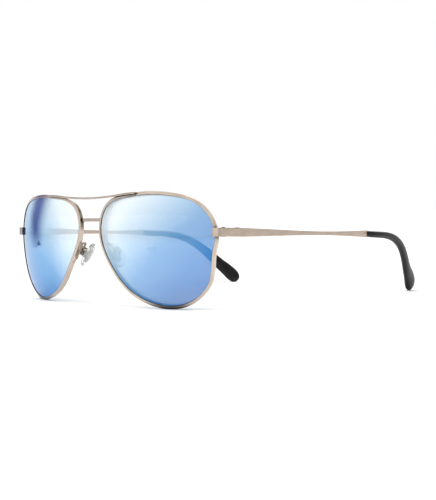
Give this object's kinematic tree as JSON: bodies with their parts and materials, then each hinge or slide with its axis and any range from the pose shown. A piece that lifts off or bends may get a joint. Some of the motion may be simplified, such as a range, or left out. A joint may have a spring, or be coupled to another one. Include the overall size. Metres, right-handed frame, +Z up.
{
  "type": "aviator sunglasses",
  "caption": "Thin wire-framed aviator sunglasses with curved mirrored lenses, a brow bar, adjustable nose pads and folding temples with sleeved tips.",
  "frame": {"origin": "under the middle of the open frame's bounding box, on the surface that it stands on", "axes": "+X to the wearer's left, +Y back along the temples, +Z up"},
  "size_m": [0.1478, 0.1394, 0.0458],
  "materials": {
    "frame_metal": "satin champagne plating",
    "screw": "turned",
    "lens": "blue mirror coating over a tinted lens",
    "temple_tip": "polished black",
    "nose_pad": "clear silicone",
    "pad_insert": "moulded"
  },
  "bodies": {
    "front": {"bridge": "frame_metal", "brow_bar": "frame_metal", "end_piece_left": "frame_metal", "end_piece_right": "frame_metal", "hinge_front_left": "frame_metal", "hinge_front_right": "frame_metal", "hinge_screw_left": "screw", "hinge_screw_right": "screw", "lens_left": "lens", "lens_right": "lens", "pad_arm_left": "frame_metal", "pad_arm_right": "frame_metal", "pad_box_left": "frame_metal", "pad_box_right": "frame_metal", "pad_screw_left": "screw", "pad_screw_right": "screw", "rim_left": "frame_metal", "rim_lock_lower_left": "frame_metal", "rim_lock_lower_right": "frame_metal", "rim_lock_screw_left": "screw", "rim_lock_screw_right": "screw", "rim_lock_upper_left": "frame_metal", "rim_lock_upper_right": "frame_metal", "rim_right": "frame_metal"},
    "temple_left": {"hinge_temple_left": "frame_metal", "temple_left": "frame_metal", "temple_tip_left": "temple_tip"},
    "temple_right": {"hinge_temple_right": "frame_metal", "temple_right": "frame_metal", "temple_tip_right": "temple_tip"},
    "nose_pad_left": {"nose_pad_left": "nose_pad", "pad_insert_left": "pad_insert"},
    "nose_pad_right": {"nose_pad_right": "nose_pad", "pad_insert_right": "pad_insert"}
  },
  "joints": [
    {"name": "temple_left_fold", "type": "hinge", "parent": "front", "child": "temple_left", "pos_m": [0.06494, -0.0481, 0.02942], "axis": [0.0011, 0.0376, 0.9993], "range_deg": [0, 88]},
    {"name": "temple_right_fold", "type": "hinge", "parent": "front", "child": "temple_right", "pos_m": [-0.06494, -0.0481, 0.02942], "axis": [0.0011, -0.0376, -0.9993], "range_deg": [0, 78]},
    {"name": "nose_pad_left_rock", "type": "hinge", "parent": "front", "child": "nose_pad_left", "pos_m": [0.01099, -0.06389, 0.02167], "axis": [-0.3263, -0.9164, -0.2317], "range_deg": [-10, 10]},
    {"name": "nose_pad_right_rock", "type": "hinge", "parent": "front", "child": "nose_pad_right", "pos_m": [-0.01099, -0.06389, 0.02167], "axis": [-0.3263, 0.9164, 0.2317], "range_deg": [-10, 10]}
  ]
}
